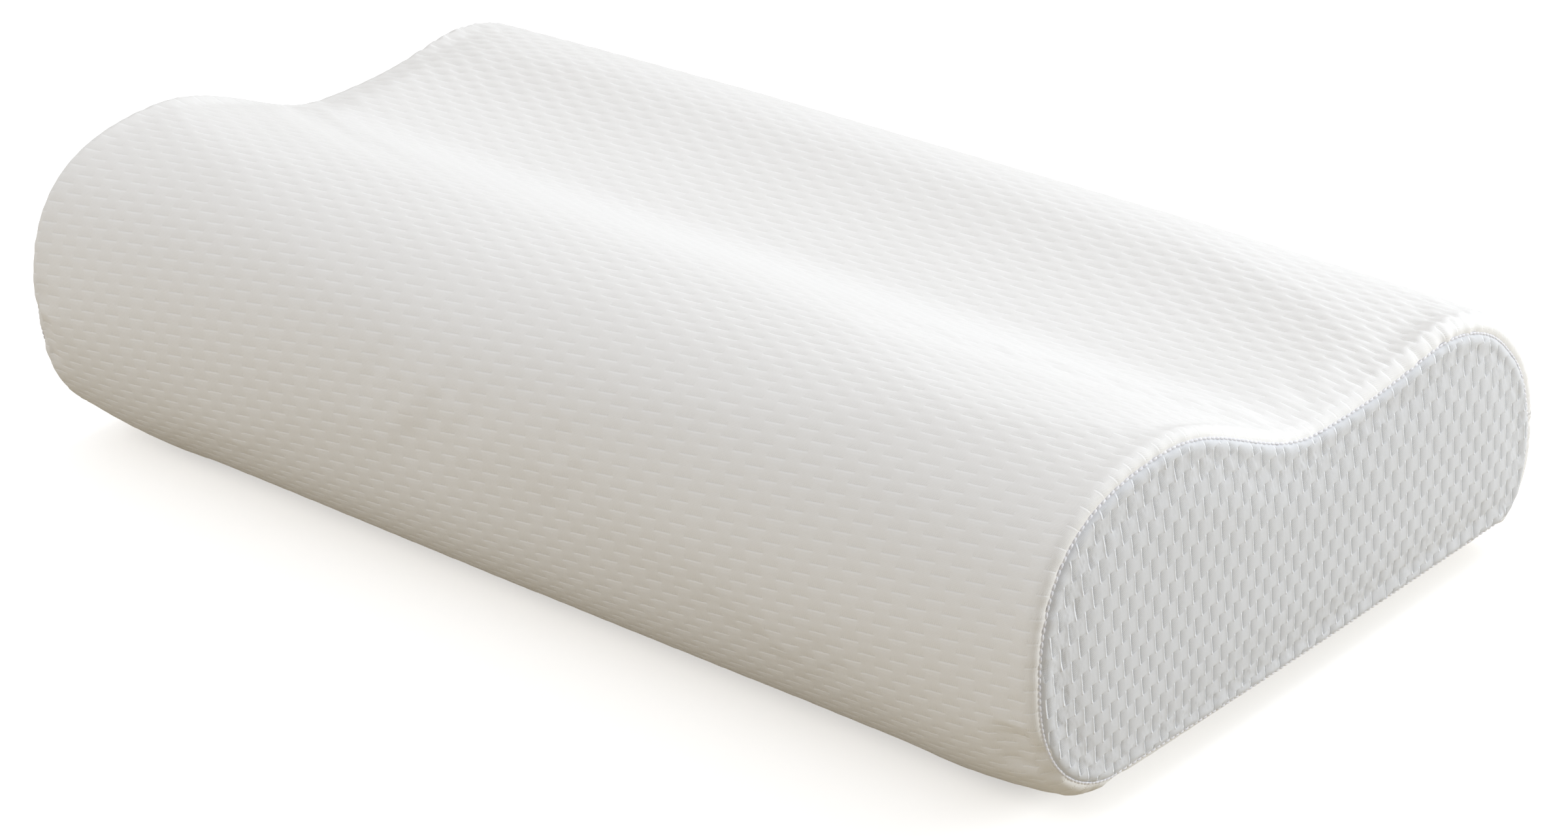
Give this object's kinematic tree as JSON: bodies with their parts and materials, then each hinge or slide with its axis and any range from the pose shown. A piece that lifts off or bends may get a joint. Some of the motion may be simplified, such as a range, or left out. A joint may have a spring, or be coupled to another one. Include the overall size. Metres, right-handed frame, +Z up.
{
  "type": "bed pillow",
  "caption": "Contour foam pillow with a high front lobe, a neck valley and a lower back lobe, in a zip-off knitted cover.",
  "frame": {"origin": "middle of the flat sole that the pillow rests on, midway along its length and on the middle of the cover's depth", "axes": "+X along the pillow's length, -Y towards the front with the high lobe, +Z up"},
  "size_m": [0.5, 0.2951, 0.126],
  "materials": {
    "knit_wrap": "matte",
    "knit_end": "matte",
    "seam_thread": "matte",
    "liner_tricot": "matte",
    "memory_foam": "matte",
    "zip_tape": "matte",
    "zip_nylon": "satin",
    "zip_metal": "satin",
    "label_cloth": "satin"
  },
  "bodies": {
    "pillow": {"foam_core": "memory_foam", "liner_wrap": "liner_tricot", "liner_end_left": "liner_tricot", "liner_end_right": "liner_tricot", "liner_seam_left": "seam_thread", "liner_seam_right": "seam_thread", "cover_wrap": "knit_wrap", "cover_end_left": "knit_end", "cover_end_right": "knit_end", "seam_thread_left": "seam_thread", "seam_thread_right": "seam_thread", "zip_tape_upper": "zip_tape", "zip_tape_lower": "zip_tape", "zip_coil_upper": "zip_nylon", "zip_coil_lower": "zip_nylon", "zip_stitch_upper": "seam_thread", "zip_stitch_lower": "seam_thread", "zip_top_stop_upper": "zip_metal", "zip_top_stop_lower": "zip_metal", "zip_bottom_stop": "zip_metal", "care_label": "label_cloth"},
    "slider": {"zip_slider": "zip_metal"},
    "pull": {"zip_pull": "zip_metal"}
  },
  "joints": [
    {"name": "zip_slide", "type": "slide", "parent": "pillow", "child": "slider", "axis": [-1, 0, 0], "range_m": [0, 0.379]},
    {"name": "pull_swing", "type": "hinge", "parent": "slider", "child": "pull", "pos_m": [0.1895, 0.14805, 0.044], "axis": [0, 0, -1], "range_deg": [0, 175]}
  ]
}
